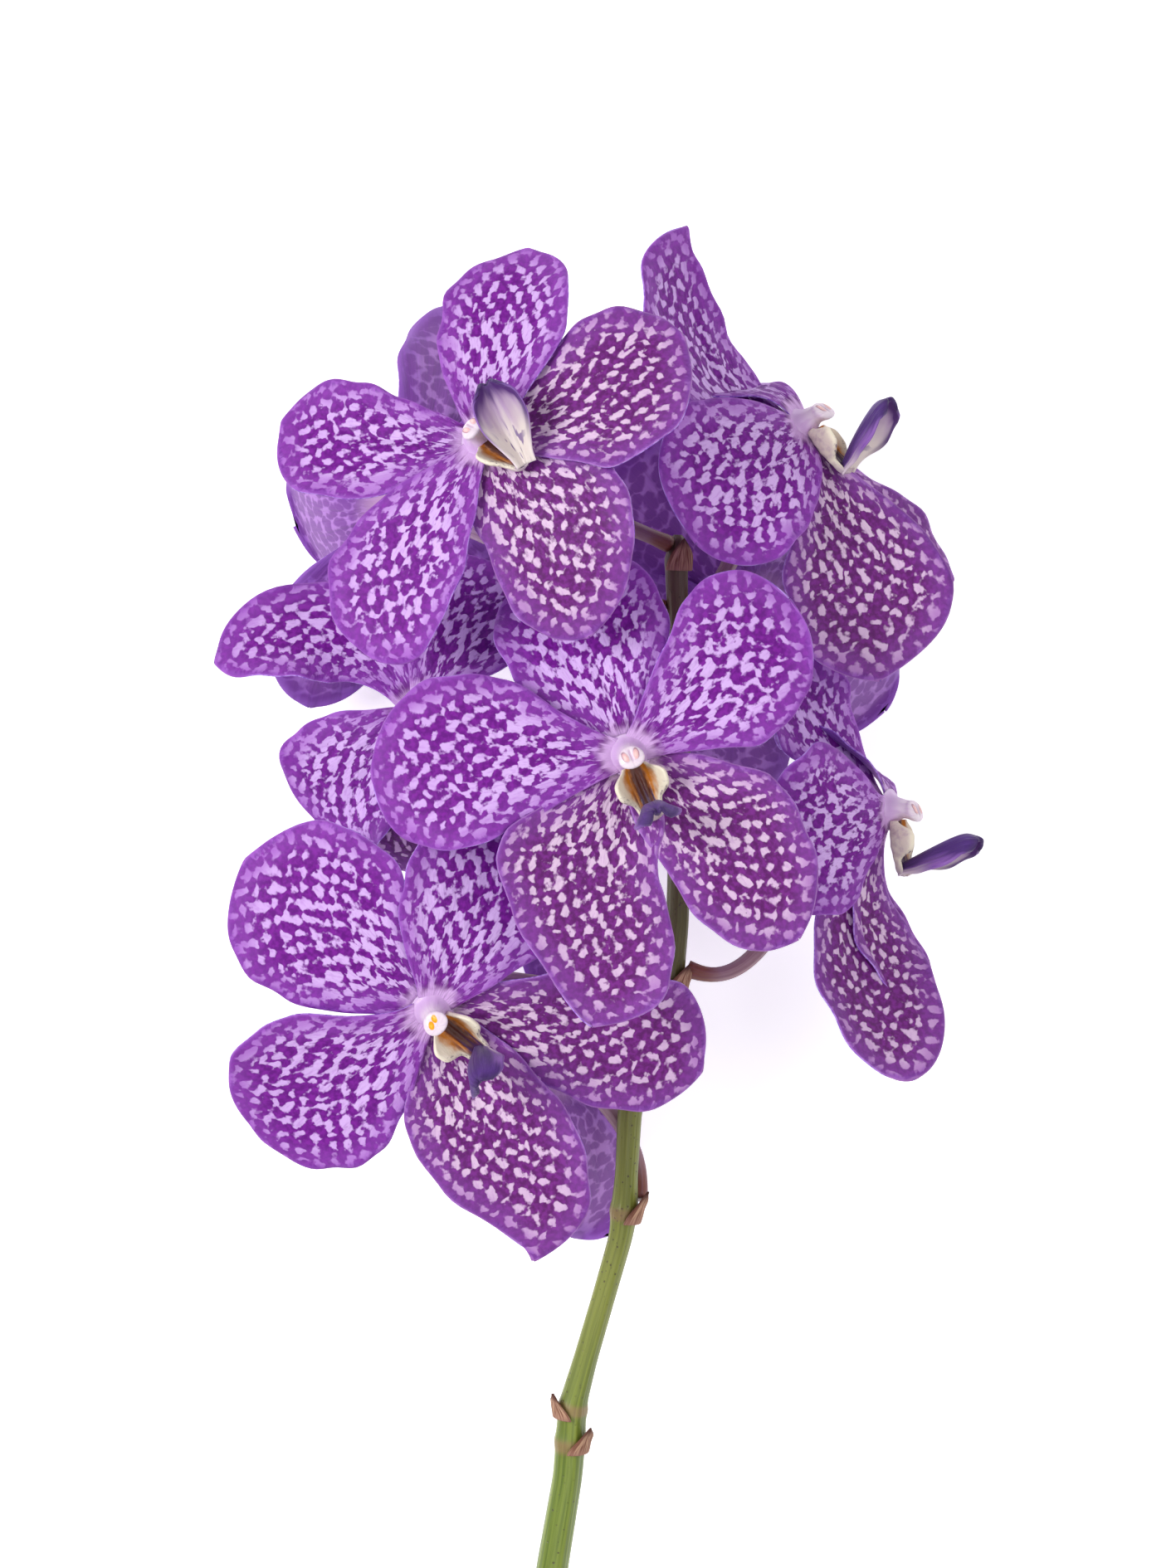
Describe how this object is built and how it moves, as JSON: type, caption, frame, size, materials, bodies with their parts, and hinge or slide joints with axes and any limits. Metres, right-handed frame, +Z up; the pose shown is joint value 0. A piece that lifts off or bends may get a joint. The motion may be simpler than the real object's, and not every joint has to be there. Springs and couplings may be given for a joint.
{
  "type": "vanda orchid spray",
  "caption": "Cut spray of a spotted violet vanda orchid: flat open blooms with small lips on short stalks round one green stem, lying on its back.",
  "frame": {"origin": "under the middle of the whole spray, on the surface that it lies on", "axes": "+Z up from the surface, towards the viewer of the picture; +Y along the stem from its cut end to the blooms; +X to the right of the picture"},
  "size_m": [0.1649, 0.3257, 0.1024],
  "materials": {
    "petal_violet": "satin",
    "column_pale": "satin",
    "lip_violet": "satin",
    "stalk_mauve": "satin",
    "stem_green": "satin",
    "scale_brown": "matte"
  },
  "bodies": {
    "root": {"back_lower_column": "column_pale", "back_lower_lip": "lip_violet", "back_lower_petals": "petal_violet", "back_lower_stalk": "stalk_mauve", "back_right_column": "column_pale", "back_right_lip": "lip_violet", "back_right_petals": "petal_violet", "back_right_stalk": "stalk_mauve", "back_upper_column": "column_pale", "back_upper_lip": "lip_violet", "back_upper_petals": "petal_violet", "back_upper_stalk": "stalk_mauve", "centre_column": "column_pale", "centre_lip": "lip_violet", "centre_petals": "petal_violet", "centre_stalk": "stalk_mauve", "left_column": "column_pale", "left_lip": "lip_violet", "left_petals": "petal_violet", "left_stalk": "stalk_mauve", "lower_left_column": "column_pale", "lower_left_lip": "lip_violet", "lower_left_petals": "petal_violet", "lower_left_stalk": "stalk_mauve", "right_column": "column_pale", "right_lip": "lip_violet", "right_petals": "petal_violet", "right_stalk": "stalk_mauve", "scale_back_lower": "scale_brown", "scale_low_left": "scale_brown", "scale_low_right": "scale_brown", "scale_right": "scale_brown", "scale_top": "scale_brown", "stem": "stem_green", "upper_left_column": "column_pale", "upper_left_lip": "lip_violet", "upper_left_petals": "petal_violet", "upper_left_stalk": "stalk_mauve", "upper_right_column": "column_pale", "upper_right_lip": "lip_violet", "upper_right_petals": "petal_violet", "upper_right_stalk": "stalk_mauve"}
  },
  "joints": []
}
